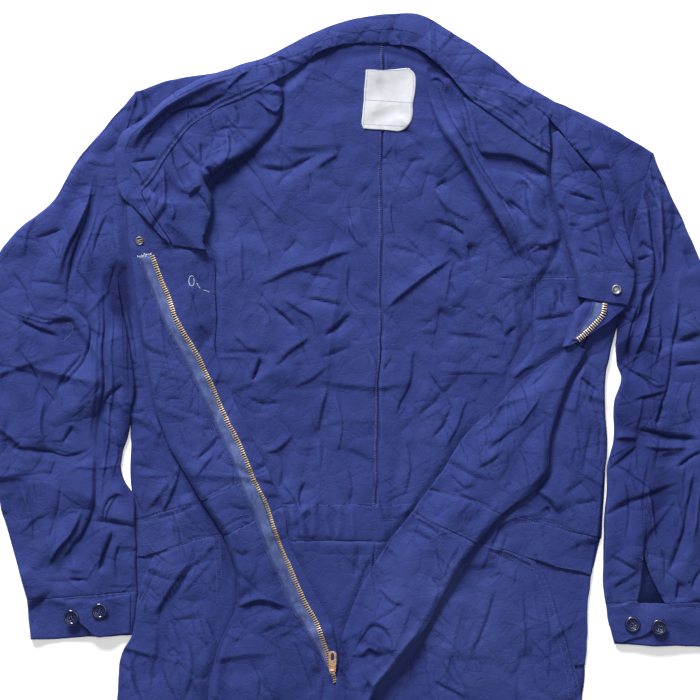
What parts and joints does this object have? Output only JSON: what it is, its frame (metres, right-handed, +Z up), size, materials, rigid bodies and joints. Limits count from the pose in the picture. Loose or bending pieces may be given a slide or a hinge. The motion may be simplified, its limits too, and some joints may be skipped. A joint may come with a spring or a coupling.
{
  "type": "boiler suit",
  "caption": "Long-sleeved zip-front boiler suit laid flat on its back, unzipped to the hips with both fronts folded open.",
  "frame": {"origin": "middle of the back waistband, on the surface the suit lies on", "axes": "+Y up the suit towards its collar, +X towards the wearer's left sleeve, +Z up from the surface"},
  "size_m": [0.9192, 1.7141, 0.017],
  "materials": {
    "cotton": "matt plain weave, washed and crumpled",
    "zip_tape": "faded woven tape",
    "brass": "worn, slightly dull",
    "snap_metal": "plain",
    "button": "glossy navy",
    "label": "white woven, bare"
  },
  "bodies": {
    "garment": {"back_right": "cotton", "back_left": "cotton", "back_waistband": "cotton", "seat_right": "cotton", "seat_left": "cotton", "front_right": "cotton", "front_left": "cotton", "front_waistband_right": "cotton", "front_waistband_left": "cotton", "trouser_front_right": "cotton", "trouser_front_left": "cotton", "hip_pocket_right": "cotton", "hip_pocket_left": "cotton", "sleeve_right": "cotton", "sleeve_left": "cotton", "cuff_right": "cotton", "cuff_left": "cotton", "cuff_tab_right": "cotton", "cuff_tab_left": "cotton", "collar_stand": "cotton", "collar_leaf": "cotton", "facing_right": "cotton", "facing_left": "cotton", "fly_flap_left": "cotton", "zip_tape_right": "zip_tape", "zip_tape_left": "zip_tape", "zip_slider": "brass", "snap_socket": "brass", "snap_stud": "snap_metal", "cuff_button_1": "button", "cuff_button_2": "button", "cuff_button_3": "button", "cuff_button_4": "button", "label": "label"},
    "pull": {"zip_pull": "brass"}
  },
  "joints": [
    {"name": "pull_hinge", "type": "hinge", "parent": "garment", "child": "pull", "pos_m": [-0.059, -0.163, 0.0105], "axis": [1, 0, 0], "range_deg": [0, 150]}
  ]
}
